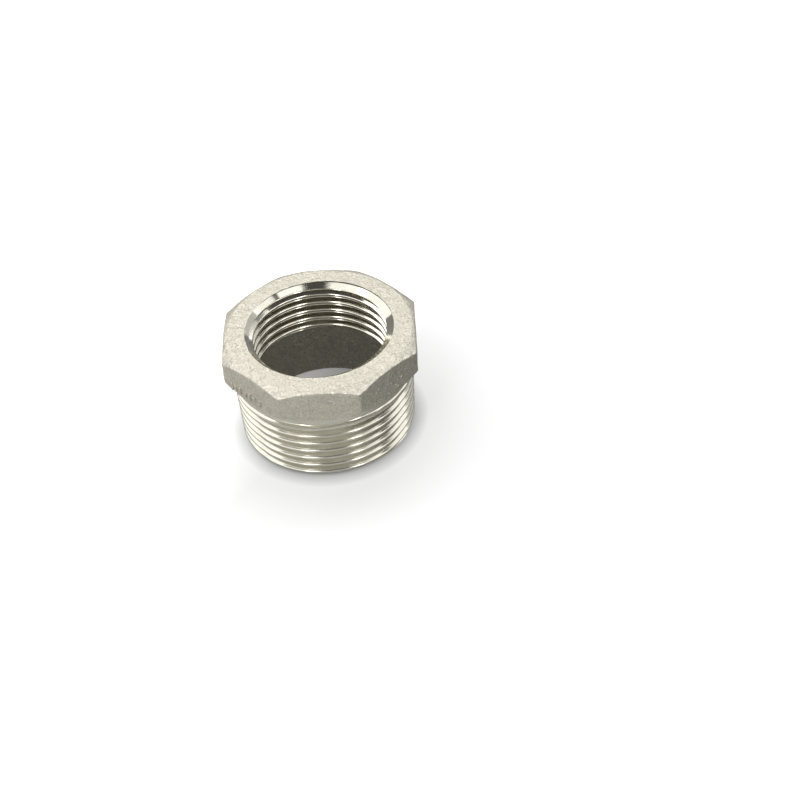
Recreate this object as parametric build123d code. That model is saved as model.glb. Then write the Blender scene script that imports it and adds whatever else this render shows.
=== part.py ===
"""Reducing bushing, 1 1/4 to 1, with an octagonal wrench head: one stainless investment casting with
55 degree pipe threads cut outside (taper) and inside (parallel).

It stands on its threaded end. The origin is the centre of that end face and +Z runs up the bore to the head.
"""

import os
from math import atan, ceil, cos, degrees, radians, tan

from build123d import *

# ---- Driving dimensions, in millimetres and degrees ----
# Wrench head
side_count = 8
across_flats = 44.0
head_height = 8.6
corner_radius = 0.9  # rounding of the upright corners
top_inset = 0.7  # the flat top stops this far inside the flats
top_chamfer_angle = 30.0  # fall of the top chamfer, from level
under_inset = 0.25  # the same for the underside
under_chamfer_angle = 40.0

# 55 degree pipe thread form, eleven to the inch
pitch = 25.4 / 11
thread_angle = 55.0
thread_depth = 1.479
root_flat = 0.385  # width of the flat at the bottom of the groove
tool_clearance = 0.2  # how far the cutter stands out of the metal

# Male taper thread below the head
male_length = 18.9
male_diameter = 41.91  # over the crests, at the gauge plane
gauge_length = 12.7  # from the end face to the gauge plane
taper = 1 / 16  # on diameter
male_end_chamfer = 0.4
male_plain_length = 1.4  # left uncut under the head
run_out_turns = 1.0  # over which the groove rises out of the metal
male_phase = 80.0  # bearing at which the groove has left the metal

# Female parallel thread in the head
female_diameter = 33.249  # over the roots
bore_diameter = 30.7  # over the crests
female_length = 12.2  # from the top face to the end of the crests
mouth_diameter = 34.3  # of the countersink at the top face
mouth_angle = 54.0  # of its wall, from the axis
female_phase = 81.4  # bearing from which the groove is counted

# Cored recess below the female thread
recess_relief = 0.13  # how far its wall clears the thread roots
recess_shoulder_angle = 45.0  # of its upper shoulder, from the axis
recess_end_chamfer = 0.5

# ---- Sizes that follow ----
height = male_length + head_height
flat_radius = across_flats / 2
half_thread_angle = radians(thread_angle / 2)
taper_angle = atan(taper / 2)
bore_radius = bore_diameter / 2
female_root_radius = female_diameter / 2
recess_radius = female_root_radius + recess_relief
mouth_radius = mouth_diameter / 2


def male_radius(z):
    """Radius over the crests of the taper thread at height z."""
    return male_diameter / 2 + (z - gauge_length) * taper / 2


def revolved(*points):
    """Solid of revolution about Z from a closed outline of (radius, height) points."""
    outline = make_face(Polyline(*points, close=True))
    return revolve(Plane.XZ * outline, Axis.Z)


def head():
    """Octagonal wrench head, chamfered over its corners above and below."""
    outline = RegularPolygon(flat_radius, side_count, major_radius=False, rotation=180 / side_count)
    outline = fillet(outline.vertices(), corner_radius)
    prism = Pos(0, 0, male_length) * extrude(outline, head_height)

    reach = 2 * flat_radius
    top_radius = flat_radius - top_inset
    under_radius = flat_radius - under_inset
    top_fall = (reach - top_radius) * tan(radians(top_chamfer_angle))
    under_rise = (reach - under_radius) * tan(radians(under_chamfer_angle))
    envelope = revolved(
        (0, male_length),
        (under_radius, male_length),
        (reach, male_length + under_rise),
        (reach, height + head_height),
        (0, height + head_height),
    ) & revolved(
        (0, -height),
        (reach, -height),
        (reach, height - top_fall),
        (top_radius, height),
        (0, height),
    )
    return prism & envelope


def barrel():
    """Taper barrel at the size of the thread crests, bevelled at its open end."""
    end_radius = male_radius(male_end_chamfer)
    return revolved(
        (0, 0),
        (end_radius - male_end_chamfer, 0),
        (end_radius, male_end_chamfer),
        (male_radius(male_length), male_length),
        (0, male_length),
    )


def passage():
    """The way through: countersunk mouth, bore for the female thread, shoulder and cored recess."""
    mouth_depth = (mouth_radius - bore_radius) / tan(radians(mouth_angle))
    shoulder_top = height - female_length
    shoulder_drop = (recess_radius - bore_radius) / tan(radians(recess_shoulder_angle))
    return revolved(
        (0, 0),
        (recess_radius + recess_end_chamfer, 0),
        (recess_radius, recess_end_chamfer),
        (recess_radius, shoulder_top - shoulder_drop),
        (bore_radius, shoulder_top),
        (bore_radius, height - mouth_depth),
        (mouth_radius, height),
        (0, height),
    )


def groove_turn(root_radius, open_radius, z, turns, cone_angle):
    """Cutter for one stretch of a thread groove, as ruled faces between four helices.

    It starts on the +X side at height z and climbs to the right. cone_angle is that of the cone it follows.
    """
    open_flat = root_flat + 2 * abs(open_radius - root_radius) * tan(half_thread_angle)
    rails = [
        Edge.make_helix(
            pitch / cos(cone_angle),
            turns * pitch,
            radius,
            center=(0, 0, z + offset),
            angle=degrees(cone_angle),
        ).edge()
        for radius, offset in (
            (root_radius, -root_flat / 2),
            (open_radius, -open_flat / 2),
            (open_radius, open_flat / 2),
            (root_radius, root_flat / 2),
        )
    ]
    sides = [Face.make_surface_from_curves(a, b) for a, b in zip(rails, rails[1:] + rails[:1])]
    ends = [Face(Wire.make_polygon([rail @ end for rail in rails], close=True)) for end in (0, 1)]
    return Solid(Shell(sides + ends))


def male_groove():
    """Cutters for the taper thread, turn by turn from the run-out down past the end face."""
    run_out_rise = run_out_turns * pitch
    run_out_start = male_length - male_plain_length - run_out_rise
    full_turns = ceil(run_out_start / pitch + 1)
    cutters = []
    for turn in range(1, full_turns + 1):
        z = run_out_start - turn * pitch
        crest = male_radius(z)
        cutters.append(groove_turn(crest - thread_depth, crest + tool_clearance, z, 1, taper_angle))
    crest = male_radius(run_out_start)
    escape = thread_depth + tool_clearance / 2 + run_out_rise * taper / 2
    escape_angle = atan(escape / run_out_rise)
    cutters.append(
        groove_turn(
            crest - thread_depth, crest + tool_clearance, run_out_start, run_out_turns, escape_angle
        )
    )
    return [Rot(0, 0, male_phase) * cutter for cutter in cutters]


def female_groove():
    """Cutters for the parallel thread, from inside the recess out through the mouth."""
    start = height - female_length - 1.5 * pitch
    turns = ceil((height - start) / pitch + 1)
    return [
        Rot(0, 0, female_phase)
        * groove_turn(female_root_radius, bore_radius - tool_clearance, start + turn * pitch, 1, 0)
        for turn in range(turns)
    ]


def bushing_body():
    """The casting with both threads cut."""
    casting = head() + barrel() - passage()
    return casting - male_groove() - female_groove()


if __name__ == "__main__":
    os.makedirs("parts", exist_ok=True)
    export_step(bushing_body(), "parts/bushing_body.step")
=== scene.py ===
"""A 1 1/4 to 1 reducing bushing with an octagonal wrench head, cast in stainless steel and threaded.

It stands on its threaded end on a white table, head up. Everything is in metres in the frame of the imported
part: the origin is the middle of the threaded end, and bearings are counted from +X towards +Y.
"""

import math

import bmesh
import bpy
from mathutils import Euler, Matrix, Vector, noise


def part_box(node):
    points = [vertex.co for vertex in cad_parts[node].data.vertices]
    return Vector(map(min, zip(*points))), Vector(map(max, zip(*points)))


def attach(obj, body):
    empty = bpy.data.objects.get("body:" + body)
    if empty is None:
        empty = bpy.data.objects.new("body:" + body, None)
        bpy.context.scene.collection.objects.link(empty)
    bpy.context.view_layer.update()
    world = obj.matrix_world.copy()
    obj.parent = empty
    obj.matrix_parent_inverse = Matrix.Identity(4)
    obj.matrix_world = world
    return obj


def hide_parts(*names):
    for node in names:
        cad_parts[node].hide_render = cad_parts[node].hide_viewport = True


bl_info = {
    "name": "Threaded reducing bushing",
    "version": (1, 0, 0),
    "blender": (4, 5, 0),
    "location": "3D View > Sidebar > Bushing",
    "description": "Casts, threads and lights a pipe bushing with an octagonal wrench head",
    "category": "Add Mesh",
}

MM = 0.001
NODE = "bushing_body"
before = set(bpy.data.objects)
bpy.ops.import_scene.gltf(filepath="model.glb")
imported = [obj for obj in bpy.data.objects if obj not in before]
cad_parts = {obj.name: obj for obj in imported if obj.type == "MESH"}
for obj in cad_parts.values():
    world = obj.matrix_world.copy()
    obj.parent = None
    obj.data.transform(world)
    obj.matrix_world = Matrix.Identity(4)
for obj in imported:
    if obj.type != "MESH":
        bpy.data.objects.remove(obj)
CAD_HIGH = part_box(NODE)[1]
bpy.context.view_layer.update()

# points round each turned shape
HEAD_POINTS = 640
MALE_POINTS = 240
END_POINTS = 480
FEMALE_POINTS = 200
WAY_POINTS = 360
ARC_STEPS = 6  # along each rounded crest and root

FRAME_WIDTH = 800  # pixels


# ---------------------------------------------------------------- sizes a user would change


def length(name, description, default_mm):
    """A length property, given in millimetres and kept in metres."""
    return bpy.props.FloatProperty(
        name=name,
        description=description,
        default=default_mm * MM,
        min=0.0,
        precision=5,
        subtype="DISTANCE",
        unit="LENGTH",
    )


def degrees(name, description, default):
    """An angle property, given in degrees and kept in radians."""
    return bpy.props.FloatProperty(
        name=name,
        description=description,
        default=math.radians(default),
        subtype="ANGLE",
        unit="ROTATION",
    )


def colour(name, description, default):
    """A colour property in linear RGB."""
    return bpy.props.FloatVectorProperty(
        name=name, description=description, default=default, size=3, min=0.0, max=1.0, subtype="COLOR"
    )


def share(name, description, default, high=1.0):
    """A plain number from 0 to high."""
    return bpy.props.FloatProperty(
        name=name, description=description, default=default, min=0.0, max=high, subtype="FACTOR"
    )


class HeadSizes(bpy.types.PropertyGroup):
    """The cast wrench head."""

    height: length("Overall height", "From the threaded end to the top of the head", CAD_HIGH.z / MM)
    across_flats: length("Across flats", "Distance between opposite wrench flats", 2 * CAD_HIGH.x / MM)
    head_height: length("Head height", "Thickness of the wrench head", 8.6)
    corner_radius: length("Corner radius", "Rounding of the upright corners", 0.9)
    top_inset: length("Top inset", "How far the flat top stops inside the flats", 0.7)
    top_chamfer: degrees("Top chamfer", "Fall of the top chamfer from level", 30.0)
    under_inset: length("Underside inset", "How far the flat underside stops inside the flats", 0.25)
    under_chamfer: degrees("Underside chamfer", "Rise of the lower chamfer from level", 40.0)
    edge_radius: length("Edge softness", "Rounding of the cast edges", 0.16)
    waviness: length("Waviness", "How far the cast skin wanders from true", 0.26)
    wave_length: length("Wave length", "Size of the waves in the cast skin", 4.2)


class ThreadSizes(bpy.types.PropertyGroup):
    """Both pipe threads, 55 degree form, and the way through."""

    pitch: length("Pitch", "Eleven threads to the inch", 25.4 / 11)
    depth: length("Thread depth", "From crest to root", 1.479)
    rounding: length("Rounding", "Radius of crests and roots", 0.317)
    flank: degrees("Flank angle", "Half of the thread angle", 27.5)
    male_radius: length("Male radius", "Over the crests at the gauge plane", 20.955)
    gauge_length: length("Gauge length", "From the end face to the gauge plane", 12.7)
    taper: share("Taper", "Growth of the male radius for each unit of height", 1 / 32)
    end_bevel: length("End bevel", "Bevel of the threaded end", 0.4)
    plain_length: length("Plain length", "Uncut collar under the head", 1.4)
    run_out_bearing: degrees("Run-out bearing", "Where the male groove has left the metal", 80.0)
    female_radius: length("Female radius", "Over the roots of the inner thread", 16.6245)
    female_length: length("Female length", "Depth of the inner thread", 12.2)
    female_phase: degrees("Female phase", "Bearing from which the inner groove is counted", 81.4)
    bore_radius: length("Bore radius", "Over the flat crests of the inner thread", 15.35)
    mouth_radius: length("Mouth radius", "Rim of the countersink", 17.15)
    mouth_depth: length("Mouth depth", "Depth of the countersink", 1.31)
    rim_step: length("Rim step", "Height of the step at the rim, where the cutter bit deepest", 0.34)
    rim_bearing: degrees("Rim bearing", "Side of the mouth on which that step is tallest", 62.0)
    crest_rounding: length("Crest rounding", "Rounding beside the flat crests of the inner thread", 0.36)
    recess_radius: length("Recess radius", "Cored bore below the inner thread", 16.7545)
    recess_chamfer: length("Recess chamfer", "Bevel at the open end of the recess", 0.5)
    raggedness: length("Raggedness", "How uneven the last crest of the inner thread is", 0.2)


class Finishes(bpy.types.PropertyGroup):
    """Colours and gloss of the metal, and the painted shade of the cored recess."""

    cast_colour: colour("Cast skin", "Matte blasted skin of the casting", (0.77, 0.735, 0.63))
    cast_roughness: share("Cast roughness", "Roughness of the blasted skin", 0.5)
    # painted shade: how much darker the cast skin is painted in the cored recess, standing in for the shade
    # there
    recess_painted_shade: share("Cored shade", "How dark the skin of the cored recess is beside that", 0.7)
    grain_size: length("Grain size", "Width of the finest grain of the cast skin", 0.5)
    stain_size: length("Stain size", "Width of the stains and dents of the cast skin", 1.6)
    pit_spacing: length("Pit spacing", "Distance between the small pits of the cast skin", 1.4)
    skin_relief: length("Skin relief", "Depth of the grain, dents and pits", 0.2)
    cut_colour: colour("Cut metal", "Turned metal of the threads", (0.73, 0.705, 0.61))
    outer_roughness: share("Outer roughness", "Roughness of the male thread", 0.14)
    outer_satin: share("Outer satin", "Share of the light that the male thread scatters all ways", 0.06)
    inner_roughness: share("Inner roughness", "Roughness of the inner thread and countersink", 0.1)
    brushing: share("Brushing", "How far the tool lines spread a reflection across them", 0.5)


class StageSettings(bpy.types.PropertyGroup):
    """Table, lamps and camera."""

    table_colour: colour("Table", "White sweep that it stands on", (0.47, 0.475, 0.47))
    table_glow: share("Table glow", "Own light of the table as seen, which lifts it to white", 0.37)
    focal_px: bpy.props.FloatProperty(
        name="Focal length",
        description="Camera focal length in pixels of the square frame",
        default=1518.1,
        subtype="PIXEL",
    )
    camera_place: bpy.props.FloatVectorProperty(
        name="Camera place",
        description="Where the camera stands",
        default=(23.28 * MM, -266.53 * MM, 249.19 * MM),
        precision=5,
        subtype="TRANSLATION",
        unit="LENGTH",
    )
    camera_yaw: degrees("Camera yaw", "Turn to the right from looking along +Y", -1.304)
    camera_pitch: degrees("Camera pitch", "Tilt down from level", 42.649)
    camera_roll: degrees("Camera roll", "Turn of the frame about the line of sight", -4.309)


# ---------------------------------------------------------------- small tools


def lone_selection(piece):
    """Makes piece the only selected object, and the active one."""
    bpy.ops.object.select_all(action="DESELECT")
    piece.select_set(True)
    bpy.context.view_layer.objects.active = piece


def applied(piece, kind, **settings):
    """Adds a modifier of that kind to piece, sets it and applies it."""
    lone_selection(piece)
    modifier = piece.modifiers.new(kind.title(), kind)
    for name, value in settings.items():
        setattr(modifier, name, value)
    bpy.ops.object.modifier_apply(modifier=modifier.name)


def combined(piece, other, operation):
    """Unites, subtracts or intersects other with piece, and removes other."""
    applied(piece, "BOOLEAN", operation=operation, object=other, solver="EXACT")
    bpy.data.objects.remove(other)
    return piece


def octagon_radius(bearing, flat_radius, corner_radius):
    """Radius of an octagon with rounded corners, at a bearing from a flat's middle."""
    step = math.pi / 4
    offset = abs((bearing + step / 2) % step - step / 2)
    corner_centre = (flat_radius - corner_radius) / math.cos(step / 2)
    on_flat = math.tan(offset) * flat_radius <= corner_centre * math.sin(step / 2)
    if on_flat:
        return flat_radius / math.cos(offset)
    across = corner_centre * math.sin(step / 2 - offset)
    return corner_centre * math.cos(step / 2 - offset) + math.sqrt(corner_radius**2 - across**2)


def lathe(name, outline, points, turn=0.0):
    """A closed solid of revolution about Z. outline runs from top to bottom as (radius, z), and either may be
    a function of the bearing. Each step of it is one extruded ring. A small turn keeps its points off those
    of the piece that it cuts."""

    def place(vertices, radius, z):
        for v in vertices:
            bearing = math.atan2(v.co.y, v.co.x)
            r = radius(bearing) if callable(radius) else radius
            height = z(bearing) if callable(z) else z
            v.co = (r * math.cos(bearing), r * math.sin(bearing), height)

    bpy.ops.mesh.primitive_circle_add(
        vertices=points, radius=10 * MM, fill_type="NGON", rotation=(0, 0, turn)
    )
    piece = bpy.context.object
    piece.name = name
    bpy.ops.object.transform_apply(location=False, rotation=True, scale=False)
    bpy.ops.object.mode_set(mode="EDIT")
    bpy.ops.mesh.select_all(action="SELECT")
    mesh = bmesh.from_edit_mesh(piece.data)
    place([v for v in mesh.verts if v.select], *outline[0])
    for radius, z in outline[1:]:
        bpy.ops.mesh.extrude_region_move()
        mesh = bmesh.from_edit_mesh(piece.data)
        place([v for v in mesh.verts if v.select], radius, z)
    bmesh.update_edit_mesh(piece.data)
    bpy.ops.mesh.select_all(action="SELECT")
    bpy.ops.mesh.normals_make_consistent(inside=False)
    bpy.ops.object.mode_set(mode="OBJECT")
    return piece


def thread_form(sizes, outer, inner, inner_rounding=None):
    """One pitch of the thread form from inner to inner as (radius, z), round at the outer radius. It is round
    at the inner one too, or flat there with rounded corners where inner_rounding is given."""
    arc = math.pi / 2 - sizes.flank
    r = sizes.rounding
    deep = outer - sizes.depth + r
    bends = [-arc + 2 * arc * i / ARC_STEPS for i in range(ARC_STEPS + 1)]
    ridge = [(outer - r + r * math.cos(a), sizes.pitch / 2 + r * math.sin(a)) for a in bends]
    if inner_rounding is None:
        rise = [(deep - r * math.cos(a), r * math.sin(a)) for a in bends[ARC_STEPS // 2 :]]
    else:
        foot = Vector((deep - r * math.cos(arc), r * math.sin(arc)))
        slope = (Vector(ridge[0]) - foot).normalized()
        corner = foot + slope * (inner - foot.x) / slope.x
        turn = math.atan2(slope.x, slope.y)
        reach = inner_rounding * math.tan(turn / 2)
        centre = Vector((inner + inner_rounding, corner.y - reach))
        rise = [(inner, 0.0)]
        for i in range(ARC_STEPS):
            a = turn * i / (ARC_STEPS - 1)
            rise.append((centre.x - inner_rounding * math.cos(a), centre.y + inner_rounding * math.sin(a)))
    fall = [(radius, sizes.pitch - z) for radius, z in reversed(rise)]
    return rise + ridge + fall


def thread_solid(name, form, pitch, low, turns, points, phase):
    """A closed solid with a right-hand thread of that form all round it, from height low up. Each end is
    drawn together to a point, and is to be cut off."""
    mesh = bpy.data.meshes.new(name)
    profile = [(r, 0.0, low + z) for r, z in form]
    mesh.from_pydata(profile, [(i, i + 1) for i in range(len(profile) - 1)], [])
    piece = bpy.data.objects.new(name, mesh)
    bpy.context.collection.objects.link(piece)
    applied(
        piece,
        "SCREW",
        axis="Z",
        angle=2 * math.pi,
        screw_offset=pitch,
        iterations=turns,
        steps=points,
        render_steps=points,
        use_merge_vertices=False,
    )
    bpy.ops.object.mode_set(mode="EDIT")
    bpy.ops.mesh.select_all(action="SELECT")
    bpy.ops.mesh.remove_doubles(threshold=pitch / 1000)
    middle = low + pitch * turns / 2
    for upper in (False, True):  # close the lower end, then the upper
        bpy.ops.mesh.select_all(action="DESELECT")
        mesh = bmesh.from_edit_mesh(piece.data)
        for edge in mesh.edges:
            edge.select = edge.is_boundary and (edge.verts[0].co.z > middle) == upper
        bpy.ops.mesh.extrude_edges_move()
        bpy.ops.mesh.merge(type="CENTER")
    bpy.ops.mesh.select_all(action="SELECT")
    bpy.ops.mesh.normals_make_consistent(inside=False)
    bpy.ops.object.mode_set(mode="OBJECT")
    piece.data.transform(Matrix.Rotation(phase, 4, "Z"))
    return piece


# ---------------------------------------------------------------- materials


class Nodes:
    """Short way to add and join shader nodes in one material or world."""

    def __init__(self, owner):
        owner.use_nodes = True
        self.tree = owner.node_tree
        self.tree.nodes.clear()

    def add(self, kind, settings=None, **inputs):
        """A node of that kind. inputs are values or sockets, named as on the node with _ for a space."""
        node = self.tree.nodes.new(kind)
        for name, value in (settings or {}).items():
            setattr(node, name, value)
        for name, value in inputs.items():
            key = int(name[2:]) if name.startswith("at") else name.replace("_", " ")
            self.join(node.inputs[key], value)
        return node

    def join(self, socket, value):
        """Links a socket to value, or sets it if value is a number or colour."""
        if isinstance(value, bpy.types.NodeSocket):
            self.tree.links.new(value, socket)
        else:
            socket.default_value = value

    def math(self, operation, *values):
        """A Math node's result."""
        node = self.add("ShaderNodeMath", {"operation": operation})
        for i, value in enumerate(values):
            self.join(node.inputs[i], value)
        return node.outputs[0]

    def spread(self, value, low, high, to_low=0.0, to_high=1.0):
        """value mapped from one range to another, and held inside it."""
        node = self.add(
            "ShaderNodeMapRange", Value=value, From_Min=low, From_Max=high, To_Min=to_low, To_Max=to_high
        )
        return node.outputs[0]

    def mixed(self, factor, a, b):
        """Colour a changed to b by factor."""
        node = self.add("ShaderNodeMix", {"data_type": "RGBA"})
        self.join(node.inputs["Factor"], factor)
        self.join(node.inputs[6], a)
        self.join(node.inputs[7], b)
        return node.outputs[2]

    def noise(self, place, wavelength, detail=3.0, roughness=0.5):
        """Noise with features about one wavelength apart, in metres."""
        node = self.add(
            "ShaderNodeTexNoise", Vector=place, Scale=1 / wavelength, Detail=detail, Roughness=roughness
        )
        return node.outputs[0]


def rgba(colour_value, shade=1.0):
    """A colour with an alpha of one, darkened by shade."""
    return (*(c * shade for c in colour_value), 1.0)


def cast_skin(name, finish, shade):
    """Matte blasted casting: pale warm grey, finely grained, with faint stains and small pits."""
    stain_shade, grain_shade, grain_share = 0.9, 0.5, 0.6
    dent_height, pit_depth = 1.6, 0.8
    material = bpy.data.materials.new(name)
    n = Nodes(material)
    place = n.add("ShaderNodeTexCoord").outputs["Object"]
    grain = n.noise(place, finish.grain_size, 3.0, 0.55)
    stain = n.noise(place, finish.stain_size, 3.0)
    cells = n.add("ShaderNodeTexVoronoi", {"feature": "F1"}, Vector=place, Scale=1 / finish.pit_spacing)
    pit = n.spread(cells.outputs["Distance"], 0.06, 0.2, 1.0, 0.0)
    # a shade below one paints a darker copy of the skin, as painted shade for the cored recess
    base = tuple(c * shade for c in finish.cast_colour)
    tone = n.mixed(n.spread(stain, 0.35, 0.65), rgba(base), rgba(base, stain_shade))
    speck = n.math("MULTIPLY", n.spread(grain, 0.35, 0.7), grain_share)
    tone = n.mixed(speck, tone, rgba(base, grain_shade))
    rough = n.spread(grain, 0.3, 0.7, finish.cast_roughness - 0.06, finish.cast_roughness + 0.08)
    uneven = n.math("ADD", grain, n.math("MULTIPLY", stain, dent_height))
    height = n.math("SUBTRACT", uneven, n.math("MULTIPLY", pit, pit_depth))
    bump = n.add("ShaderNodeBump", Strength=1.0, Distance=finish.skin_relief, Height=height)
    shader = n.add(
        "ShaderNodeBsdfPrincipled",
        Base_Color=tone,
        Metallic=1.0,
        Roughness=rough,
        Normal=bump.outputs[0],
    )
    n.add("ShaderNodeOutputMaterial", Surface=shader.outputs[0])
    return material


def cut_metal(name, finish, roughness, satin):
    """Turned stainless: fine tool lines round the axis spread a reflection across them, and satin is the
    share of it that comes back without any direction."""
    line_spacing, line_depth, line_strength = 0.15 * MM, 0.01 * MM, 0.06
    cloud_size, cloud_shade = 3 * MM, 0.93
    material = bpy.data.materials.new(name)
    n = Nodes(material)
    place = n.add("ShaderNodeTexCoord").outputs["Object"]
    split = n.add("ShaderNodeSeparateXYZ", Vector=place)
    x_squared = n.math("MULTIPLY", split.outputs[0], split.outputs[0])
    y_squared = n.math("MULTIPLY", split.outputs[1], split.outputs[1])
    radius = n.math("SQRT", n.math("ADD", x_squared, y_squared))
    ring = n.add("ShaderNodeCombineXYZ", X=radius, Y=split.outputs[2], Z=0.0)
    lines = n.noise(ring.outputs[0], line_spacing, 2.0)
    clouds = n.noise(place, cloud_size, 3.0)
    base = finish.cut_colour
    tone = n.mixed(n.spread(clouds, 0.35, 0.7), rgba(base), rgba(base, cloud_shade))
    bump = n.add("ShaderNodeBump", Strength=line_strength, Distance=line_depth, Height=lines)
    tangent = n.add("ShaderNodeTangent", {"direction_type": "RADIAL", "axis": "Z"})
    shader = n.add(
        "ShaderNodeBsdfPrincipled",
        Base_Color=tone,
        Metallic=1.0 - satin,
        Roughness=roughness,
        Anisotropic=finish.brushing,
        Anisotropic_Rotation=0.25,
        Tangent=tangent.outputs[0],
        Normal=bump.outputs[0],
    )
    n.add("ShaderNodeOutputMaterial", Surface=shader.outputs[0])
    return material


# ---------------------------------------------------------------- the bushing


def steps(low, high, count):
    """count numbers after low, evenly spaced up to high."""
    return [low + (high - low) * i / count for i in range(1, count + 1)]


def wrench_head(head):
    """The cast octagon, chamfered above and below, with slightly soft and wavy faces."""
    flat = head.across_flats / 2
    under = head.height - head.head_height
    top_radius = flat - head.top_inset
    under_radius = flat - head.under_inset

    def outline(bearing):
        return octagon_radius(bearing, flat, head.corner_radius)

    def shoulder(bearing):
        return head.height - (outline(bearing) - top_radius) * math.tan(head.top_chamfer)

    def skirt(bearing):
        return under + (outline(bearing) - under_radius) * math.tan(head.under_chamfer)

    def between(inner, outer, amount):
        return lambda bearing: outer(bearing) * amount + inner(bearing) * (1 - amount)

    # the bore takes what is inside core, and the barrel covers what is inside neck
    core, rim, neck = 14 * MM, 16.4 * MM, 18 * MM
    rings = [(core, head.height), (rim, head.height)]
    rings += [(radius, head.height) for radius in steps(rim, top_radius, 7)]
    for amount in steps(0, 1, 2):
        radius = between(lambda b: top_radius, outline, amount)
        rings.append((radius, between(lambda b: head.height, shoulder, amount)))
    rings += [(outline, between(shoulder, skirt, amount)) for amount in steps(0, 1, 9)]
    for amount in steps(0, 1, 2):
        radius = between(outline, lambda b: under_radius, amount)
        rings.append((radius, between(skirt, lambda b: under, amount)))
    rings += [(radius, under) for radius in steps(under_radius, neck, 4)]
    piece = lathe("bushing", rings, HEAD_POINTS)
    sharp = math.radians(25)
    applied(piece, "BEVEL", width=head.edge_radius, segments=2, limit_method="ANGLE", angle_limit=sharp)
    long_waves = ("long_waves", head.wave_length, head.waviness)
    short_waves = ("short_waves", head.wave_length / 4, head.waviness / 3)
    for name, size, height in (long_waves, short_waves):
        waves = bpy.data.textures.new(name, "CLOUDS")
        waves.noise_scale = size
        applied(piece, "DISPLACE", texture=waves, texture_coords="LOCAL", strength=height, mid_level=0.5)
    return piece


def male_end(head, thread):
    """The tapered barrel with its thread, run out under the head and bevelled at the open end."""
    neck = head.height - head.head_height
    run_out_start = neck - thread.plain_length - thread.pitch
    escape = thread.depth + 0.1 * MM  # what the groove rises in the run-out

    def crest(z):
        return thread.male_radius + (z - thread.gauge_length) * thread.taper

    turns = math.ceil(neck / thread.pitch) + 3
    low = -1.5 * thread.pitch
    phase = thread.run_out_bearing - 2 * math.pi * (run_out_start / thread.pitch + 0.5)
    form = thread_form(thread, thread.male_radius, thread.male_radius - thread.depth)
    piece = thread_solid("barrel", form, thread.pitch, low, turns, MALE_POINTS, phase)
    for v in piece.data.vertices:
        radius = math.hypot(v.co.x, v.co.y)
        if radius < 1 * MM:  # the point of an end
            continue
        turned = (math.atan2(v.co.y, v.co.x) - thread.run_out_bearing) / (2 * math.pi) % 1.0
        groove = round((v.co.z - run_out_start) / thread.pitch - turned)
        grown = radius + (v.co.z - thread.gauge_length) * thread.taper
        if groove >= 0:
            grown += escape * min(groove + turned, 1.0)
        v.co.x *= grown / radius
        v.co.y *= grown / radius
    clear = 0.002 * MM  # keeps the turned shape just outside the crests
    top, start = neck + 0.5 * MM, thread.end_bevel
    outline = [(crest(top) + clear, top), (crest(start) + clear, start), (crest(start) - start, 0.0)]
    end = lathe("end", outline, END_POINTS, 0.004)
    return combined(piece, end, "INTERSECT")


def female_bore(head, thread):
    """What is cut out of the inside: countersink, inner thread and cored recess."""
    shoulder = head.height - thread.female_length
    recess_top = shoulder - (thread.recess_radius - thread.bore_radius)

    def ragged(bearing):
        """Height at which the last crest breaks off, uneven in coarse and fine waves."""
        place = Vector((math.cos(bearing), math.sin(bearing), 0.0)) * 22
        coarse = noise.noise(place / 5)
        return shoulder + thread.raggedness * (noise.noise(place) * 0.6 + coarse * 0.6)

    def step(bearing):
        """Foot of the rim's step, which fades out on the side away from rim_bearing."""
        return head.height - thread.rim_step * (0.5 + 0.5 * math.cos(bearing - thread.rim_bearing)) ** 2

    form = thread_form(thread, thread.female_radius, thread.bore_radius, thread.crest_rounding)
    turns = math.ceil(thread.female_length / thread.pitch) + 3
    low = shoulder - 2 * thread.pitch
    piece = thread_solid("bore", form, thread.pitch, low, turns, FEMALE_POINTS, thread.female_phase)
    wide = thread.female_radius + 1 * MM
    outline = [(wide, head.height + 1 * MM), (wide, recess_top + 0.1 * MM)]
    combined(piece, lathe("cut_off", outline, FEMALE_POINTS, 0.005), "INTERSECT")
    bore = thread.bore_radius - 0.02 * MM  # just inside the crests, which stay as they are
    rim = thread.mouth_radius
    outline = [
        (rim, head.height + 1.5 * MM),
        (rim, head.height + 0.1 * MM),
        (rim - 0.02 * MM, step),
        (bore, lambda bearing: step(bearing) - thread.mouth_depth),
        (bore, ragged),
        (thread.recess_radius, recess_top),
        (thread.recess_radius, thread.recess_chamfer),
        (thread.recess_radius + thread.recess_chamfer + 1 * MM, -1 * MM),
    ]
    return combined(piece, lathe("way", outline, WAY_POINTS, 0.003), "UNION")


# place along the flat and height of each tick, in millimetres
TICKS = ((-6.4, 2.1), (-5.0, 1.5), (-3.7, 2.1), (-1.8, 1.6), (-0.4, 2.1), (1.1, 1.5), (2.9, 1.9))


def casting_ticks(head):
    """A short row of plain raised ticks, low on one flat, as a casting may carry."""
    flat = head.across_flats / 2
    middle = head.height - head.head_height + 2.3 * MM
    width, thickness, sunk = 0.5 * MM, 0.62 * MM, 0.02 * MM
    row = None
    for offset, tall in TICKS:
        bpy.ops.mesh.primitive_cube_add(size=1.0)
        tick = bpy.context.object
        tick.data.transform(Matrix.Diagonal((width, thickness, tall * MM, 1.0)))
        applied(tick, "BEVEL", width=0.12 * MM, segments=2)
        place = Matrix.Translation((offset * MM, -flat - sunk, middle))
        tick.data.transform(Matrix.Rotation(-math.pi / 4, 4, "Z") @ place)
        row = tick if row is None else combined(row, tick, "UNION")
    return row


def casting_pit(head):
    """A small blowhole in the front flat, as the ball that cuts it."""
    flat = head.across_flats / 2
    aside, out, down = 1.3 * MM, 0.08 * MM, 5.3 * MM
    bpy.ops.mesh.primitive_ico_sphere_add(subdivisions=3, radius=0.45 * MM)
    pit = bpy.context.object
    pit.data.transform(Matrix.Translation((-aside, -flat - out, head.height - down)))
    return pit


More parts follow.
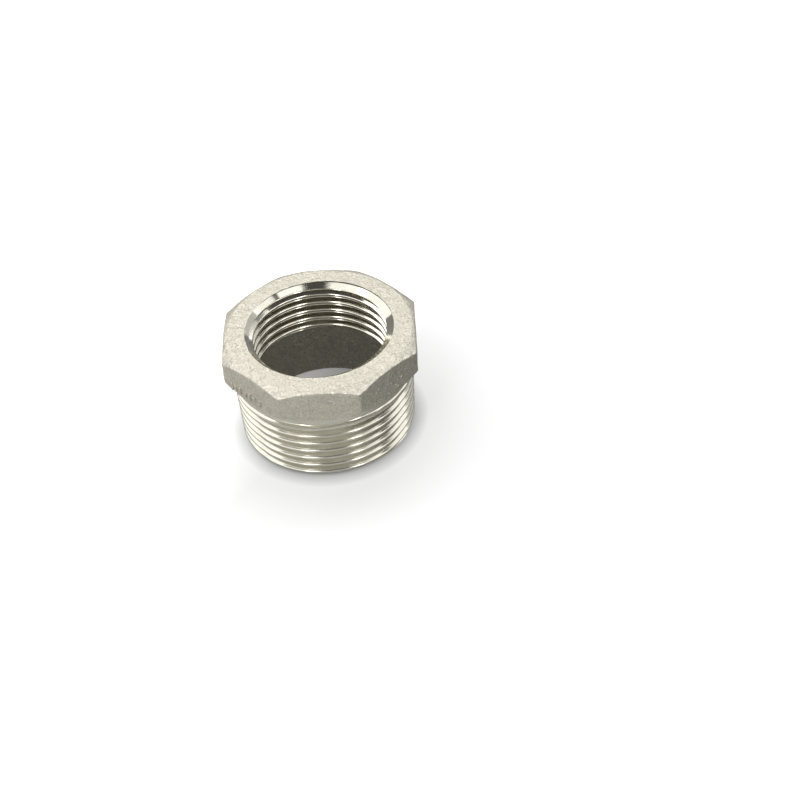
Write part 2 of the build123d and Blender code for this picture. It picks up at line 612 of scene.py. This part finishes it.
class BUSHING_OT_body(bpy.types.Operator):
    """Cast the head and barrel in one piece, cut both threads and finish the surfaces."""

    bl_idname = "bushing.body"
    bl_label = "Bushing body"
    bl_options = {"REGISTER", "UNDO"}

    def execute(self, context):
        scene = context.scene
        head, thread, finish = scene.head_sizes, scene.thread_sizes, scene.finishes
        piece = wrench_head(head)
        combined(piece, casting_ticks(head), "UNION")
        combined(piece, casting_pit(head), "DIFFERENCE")
        combined(piece, male_end(head, thread), "UNION")
        combined(piece, female_bore(head, thread), "DIFFERENCE")
        piece.name = "bushing"
        piece.data.name = "bushing"

        piece.data.materials.clear()
        for material in (
            cast_skin("cast_skin", finish, 1.0),
            cut_metal("cut_outer", finish, finish.outer_roughness, finish.outer_satin),
            cut_metal("cut_inner", finish, finish.inner_roughness, 0.0),
            # painted shade: a darker copy of the cast skin for the cored recess
            cast_skin("painted_shade_recess_skin", finish, finish.recess_painted_shade),
        ):
            piece.data.materials.append(material)
        cast, outer, inner, cored = range(4)
        near = 0.05 * MM
        neck = head.height - head.head_height - near
        recess = thread.recess_radius + near
        mouth = thread.mouth_radius + 0.11 * MM
        recess_top = head.height - thread.female_length - (thread.recess_radius - thread.bore_radius)
        for face in piece.data.polygons:
            radius, z = math.hypot(face.center.x, face.center.y), face.center.z
            if z < neck and radius > recess:
                face.material_index = outer
            elif z > recess_top and radius < mouth:
                face.material_index = inner
            # the cored recess gets the painted shade copy of the skin
            elif z <= recess_top and radius < recess:
                face.material_index = cored
            else:
                face.material_index = cast

        lone_selection(piece)
        bpy.ops.object.shade_smooth_by_angle(angle=math.radians(32))
        applied(piece, "WEIGHTED_NORMAL", mode="FACE_AREA", weight=80, keep_sharp=True)
        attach(piece, "root")
        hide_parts(NODE)
        return {"FINISHED"}


# ---------------------------------------------------------------- table, lamps, camera


# name, then in degrees the bearing, how far it spans to each side of that, lowest and highest rise,
# and last its brightness
LAMPS = (
    ("softbox_left", 240.0, -46.0, 4.0, 14.0, 69.0, 1.4),
    ("softbox_far_left", 158.0, -20.0, 18.0, 16.0, 59.0, 1.3),
    ("edge_left", 241.0, -4.0, 4.0, 10.0, 66.0, 4.5),
    ("edge_middle", 272.0, -26.0, 26.0, 14.0, 60.0, 0.42),
    ("edge_right", 304.0, -4.0, 4.0, 10.0, 67.0, 4.5),
    ("softbox_right", 318.0, -8.0, 20.0, 16.0, 69.5, 1.45),
    ("softbox_far_right", 5.0, -22.0, 20.0, 14.0, 55.0, 1.25),
    ("fill_right", 42.0, -14.0, 14.0, 8.0, 42.0, 0.45),
    ("softbox_back", 97.0, -34.0, 34.0, 30.0, 72.0, 1.9),
)


def lit(name, bearing, span_from, span_to, low, high, glow):
    """Adds a rectangular lamp that fills those angles as seen from the bushing, square to the bearing."""
    distance = 0.8
    turn, lift = math.radians(bearing), math.radians((low + high) / 2)
    out = Vector((math.cos(turn) * math.cos(lift), math.sin(turn) * math.cos(lift), math.sin(lift)))
    left = Vector((-math.sin(turn), math.cos(turn), 0.0))
    ends = [distance * math.tan(math.radians(a)) for a in (span_from, span_to)]
    bpy.ops.object.light_add(type="AREA", location=out * distance + left * (ends[0] + ends[1]) / 2)
    lamp = bpy.context.object
    lamp.name = name
    lamp.rotation_euler = (-out).to_track_quat("-Z", "Y").to_euler()
    lamp.visible_camera = False
    lamp.data.shape = "RECTANGLE"
    lamp.data.size = ends[1] - ends[0]
    lamp.data.size_y = 2 * distance * math.tan(math.radians(high - low) / 2)
    lamp.data.energy = math.pi * lamp.data.size * lamp.data.size_y * glow


def white_table(settings):
    """Matt white, with painted shade that darkens it towards the right for the metal to reflect. For the
    camera alone it also has its own light, which lifts it to white and cancels that painted shade; it starts
    just outside the foot of the bushing and leaves a thin painted shadow there, grows away from the bushing
    as painted shade around it, and adds painted light on the left and towards the back."""
    foot, clear, far = 19.5 * MM, 24 * MM, 100 * MM
    material = bpy.data.materials.new("table_white")
    n = Nodes(material)
    rays = n.add("ShaderNodeLightPath")
    place = n.add("ShaderNodeTexCoord").outputs["Object"]
    away = n.add("ShaderNodeVectorMath", {"operation": "LENGTH"}, at0=place).outputs["Value"]
    split = n.add("ShaderNodeSeparateXYZ", Vector=place)
    # painted shade: the table's colour is darkened towards the right for the metal to reflect, and the
    # camera's glow lifts it back there
    right = n.spread(split.outputs[0], 14 * MM, 44 * MM)
    # painted light: the camera's glow is raised to the left of the bushing and towards the back, lightening
    # the shadow there
    left = n.math("SUBTRACT", split.outputs[0], n.math("MULTIPLY", split.outputs[1], 0.8))
    # painted shadow: the camera's glow starts just outside the foot and reaches full strength at clear,
    # leaving a thin dark ring at the foot
    lift = n.spread(away, foot, clear, 0.0, settings.table_glow)
    for more in (
        # painted shade: the glow grows from near the bushing out to far, so the table is darker close to it
        n.spread(away, 27 * MM, far, 0.0, 0.5),
        n.math("MULTIPLY", right, 0.4),
        n.spread(left, -34 * MM, 0.0, 0.4, 0.0),
    ):
        lift = n.math("ADD", lift, more)
    tone = n.mixed(right, rgba(settings.table_colour), rgba(settings.table_colour, 0.25))
    matt = n.add("ShaderNodeBsdfDiffuse", Color=tone)
    seen = n.math("MULTIPLY", rays.outputs["Is Camera Ray"], lift)
    glow = n.add("ShaderNodeEmission", Color=(1, 1, 1, 1), Strength=seen)
    both = n.add("ShaderNodeAddShader", at0=matt.outputs[0], at1=glow.outputs[0])
    n.add("ShaderNodeOutputMaterial", Surface=both.outputs[0])
    return material


def studio_world():
    """Dim grey, darker overhead, and white where the camera looks straight at it."""
    world = bpy.data.worlds.new("studio")
    n = Nodes(world)
    way = n.add("ShaderNodeSeparateXYZ", Vector=n.add("ShaderNodeTexCoord").outputs["Generated"])
    seen = n.add("ShaderNodeLightPath").outputs["Is Camera Ray"]
    level = n.spread(way.outputs[2], 0.1, 0.85, 0.3, 0.08)
    sky = n.add("ShaderNodeBackground", Color=(1, 1, 1, 1), Strength=n.math("MAXIMUM", seen, level))
    n.add("ShaderNodeOutputWorld", Surface=sky.outputs[0])
    return world


class BUSHING_OT_stage(bpy.types.Operator):
    """Set the white table, the softboxes and the camera."""

    bl_idname = "bushing.stage"
    bl_label = "Stage"
    bl_options = {"REGISTER", "UNDO"}

    def execute(self, context):
        settings = context.scene.stage_settings
        bpy.ops.mesh.primitive_plane_add(size=4.0, location=(0, 0, 0))
        table = context.object
        table.name = "table"
        table.data.materials.append(white_table(settings))

        context.scene.world = studio_world()
        for lamp in LAMPS:
            lit(*lamp)

        bpy.ops.object.camera_add(location=settings.camera_place)
        camera = context.object
        camera.name = "camera"
        camera.data.sensor_width = 36.0
        camera.data.lens = settings.focal_px / FRAME_WIDTH * camera.data.sensor_width
        camera.data.clip_start = 0.01
        level_view = Euler((math.pi / 2 - settings.camera_pitch, 0, -settings.camera_yaw), "XYZ").to_matrix()
        rolled = level_view @ Matrix.Rotation(settings.camera_roll, 3, "Z")
        camera.rotation_euler = rolled.to_euler()
        context.scene.camera = camera
        context.scene.view_settings.view_transform = "Standard"
        return {"FINISHED"}


class BUSHING_PT_panel(bpy.types.Panel):
    """Lists the steps in order."""

    bl_label = "Reducing bushing"
    bl_idname = "BUSHING_PT_panel"
    bl_space_type = "VIEW_3D"
    bl_region_type = "UI"
    bl_category = "Bushing"

    def draw(self, context):
        column = self.layout.column()
        column.operator("bushing.body")
        column.operator("bushing.stage")
        for key, cls in GROUPS.items():
            box = column.box()
            for name in cls.__annotations__:
                box.prop(getattr(context.scene, key), name)


GROUPS = {
    "head_sizes": HeadSizes,
    "thread_sizes": ThreadSizes,
    "finishes": Finishes,
    "stage_settings": StageSettings,
}
CLASSES = (*GROUPS.values(), BUSHING_OT_body, BUSHING_OT_stage, BUSHING_PT_panel)


def register():
    """Adds the classes and the scene's settings."""
    for cls in CLASSES:
        bpy.utils.register_class(cls)
    for name, cls in GROUPS.items():
        setattr(bpy.types.Scene, name, bpy.props.PointerProperty(type=cls))


def unregister():
    """Takes them away again."""
    for name in GROUPS:
        delattr(bpy.types.Scene, name)
    for cls in reversed(CLASSES):
        bpy.utils.unregister_class(cls)


def main():
    """Builds the bushing and its stage."""
    register()
    bpy.ops.bushing.body()
    bpy.ops.bushing.stage()


if __name__ == "__main__":
    main()
